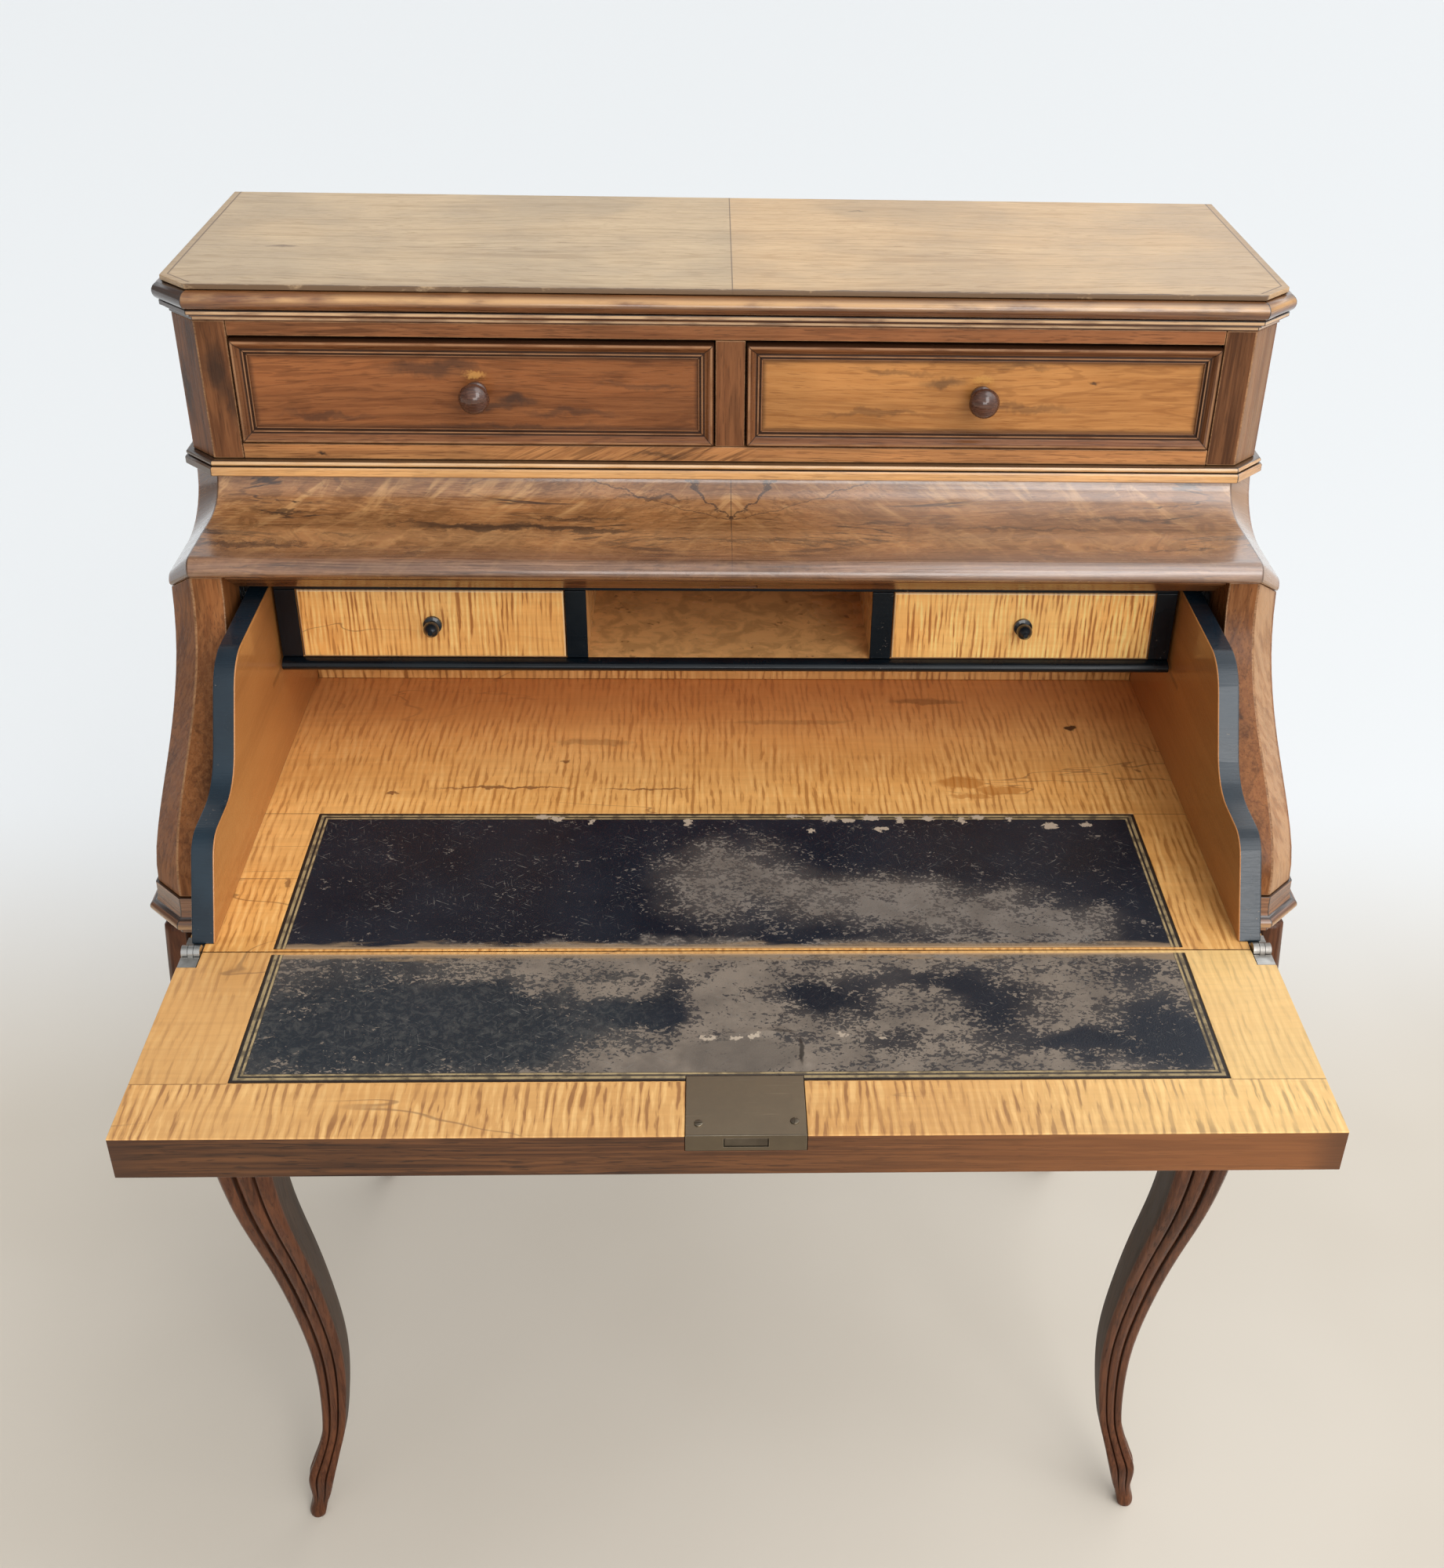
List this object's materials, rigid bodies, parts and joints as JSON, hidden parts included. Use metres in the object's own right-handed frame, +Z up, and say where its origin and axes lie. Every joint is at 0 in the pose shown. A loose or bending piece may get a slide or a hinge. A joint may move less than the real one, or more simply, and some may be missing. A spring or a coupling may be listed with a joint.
{
  "type": "slant-front desk",
  "caption": "Slant-front writing desk with a sliding leather-topped tray, serpentine hinged fall, framed drawers, inner gallery, canted corners and cabriole legs.",
  "frame": {"origin": "on the floor, in the middle of the open desk's bounding box", "axes": "+X to the right of a person facing the desk, -Y towards that person, +Z up; the desk is open at rest"},
  "size_m": [0.7846, 0.7132, 1.0243],
  "materials": {
    "walnut": "satin, old polish",
    "pale_walnut": "faded, nearly matt",
    "golden_walnut": "satin, old polish",
    "maple": "satin, curly figure",
    "ebonised": "satin black",
    "leather": "worn, with a gilt line",
    "steel": "worn",
    "bronze": "dark patina"
  },
  "bodies": {
    "case": {"top_board": "pale_walnut", "cornice": "walnut", "upper_stile_left": "walnut", "upper_stile_right": "walnut", "top_rail": "walnut", "bottom_rail": "golden_walnut", "centre_stile": "walnut", "drawer_deck": "pale_walnut", "waist_bead": "golden_walnut", "ogee_board": "walnut", "fall_stop": "walnut", "lower_stile_left": "walnut", "lower_stile_right": "walnut", "side_panel_left": "walnut", "side_panel_right": "walnut", "back_panel": "pale_walnut", "dust_board": "pale_walnut", "base_moulding": "walnut", "case_bottom": "pale_walnut", "apron_front": "walnut", "apron_back": "walnut", "apron_left": "walnut", "apron_right": "walnut", "leg_front_left": "walnut", "leg_front_right": "walnut", "leg_back_left": "walnut", "leg_back_right": "walnut", "gallery_top": "ebonised", "gallery_bottom": "ebonised", "gallery_end_left": "ebonised", "gallery_end_right": "ebonised", "gallery_divider_left": "ebonised", "gallery_divider_right": "ebonised"},
    "drawer_left": {"drawer_left_front": "walnut", "drawer_left_box": "pale_walnut", "drawer_left_knob": "walnut"},
    "drawer_right": {"drawer_right_front": "walnut", "drawer_right_box": "pale_walnut", "drawer_right_knob": "walnut"},
    "small_drawer_left": {"small_drawer_left_front": "maple", "small_drawer_left_box": "maple", "small_drawer_left_knob": "ebonised"},
    "small_drawer_right": {"small_drawer_right_front": "maple", "small_drawer_right_box": "maple", "small_drawer_right_knob": "ebonised"},
    "tray": {"tray_floor": "maple", "tray_side_left": "ebonised", "tray_side_right": "ebonised", "tray_back": "maple", "tray_leather": "leather", "tray_hinge_left": "steel", "tray_hinge_right": "steel"},
    "fall": {"fall_panel": "maple", "fall_leather": "leather", "fall_hinge_left": "steel", "fall_hinge_right": "steel", "lock_case": "bronze"},
    "bolt": {"lock_bolt": "steel"}
  },
  "joints": [
    {"name": "tray_slide", "type": "slide", "parent": "case", "child": "tray", "axis": [0, -1, 0], "range_m": [-0.1412, 0]},
    {"name": "fall_hinge", "type": "hinge", "parent": "tray", "child": "fall", "pos_m": [0, -0.19265, 0.7005], "axis": [1, 0, 0], "range_deg": [-125, 0]},
    {"name": "bolt_slide", "type": "slide", "parent": "fall", "child": "bolt", "axis": [0, -1, 0], "range_m": [0, 0.008]},
    {"name": "drawer_left_slide", "type": "slide", "parent": "case", "child": "drawer_left", "axis": [0, -1, 0], "range_m": [0, 0.14]},
    {"name": "drawer_right_slide", "type": "slide", "parent": "case", "child": "drawer_right", "axis": [0, -1, 0], "range_m": [0, 0.14]},
    {"name": "small_drawer_left_slide", "type": "slide", "parent": "case", "child": "small_drawer_left", "axis": [0, -1, 0], "range_m": [0, 0.15]},
    {"name": "small_drawer_right_slide", "type": "slide", "parent": "case", "child": "small_drawer_right", "axis": [0, -1, 0], "range_m": [0, 0.15]}
  ],
  "couplings": [
    {"joint": "fall_hinge", "follows": "tray_slide", "rad_per_m": 15.451}
  ]
}
